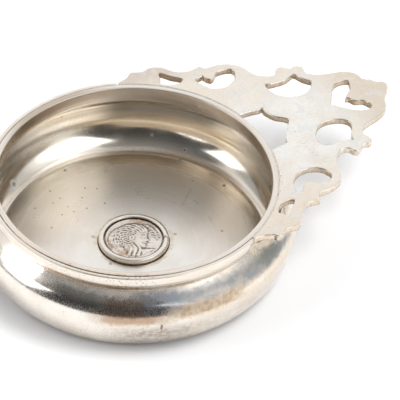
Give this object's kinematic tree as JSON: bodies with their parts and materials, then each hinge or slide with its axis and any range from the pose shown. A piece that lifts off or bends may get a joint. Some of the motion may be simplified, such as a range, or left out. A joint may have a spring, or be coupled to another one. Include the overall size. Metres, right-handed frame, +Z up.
{
  "type": "wine taster",
  "caption": "Shallow bulging silver wine taster with a wired lip, one flat pierced handle level with the lip, and a coin held by a ring in its floor.",
  "frame": {"origin": "middle of the flat base the cup stands on", "axes": "+Z up along the bowl's axis, +X out along the handle, +Y to the left seen from the bowl towards the handle"},
  "size_m": [0.1558, 0.1098, 0.0305],
  "materials": {
    "bowl_silver": "worn polished silver with warm toning and fine scratches",
    "wire_silver": "worn polished silver, dark in the seam",
    "handle_silver": "satin silver with warm toning, brown in the piercings",
    "ring_silver": "worn polished silver",
    "coin_silver": "worn struck silver, brown in the hollows",
    "solder": "pitted, toned solder"
  },
  "bodies": {
    "root": {"bowl": "bowl_silver", "rim_wire": "wire_silver", "handle": "handle_silver", "handle_solder_left": "solder", "handle_solder_right": "solder", "bezel": "ring_silver", "bezel_solder": "solder", "coin": "coin_silver"}
  },
  "joints": []
}
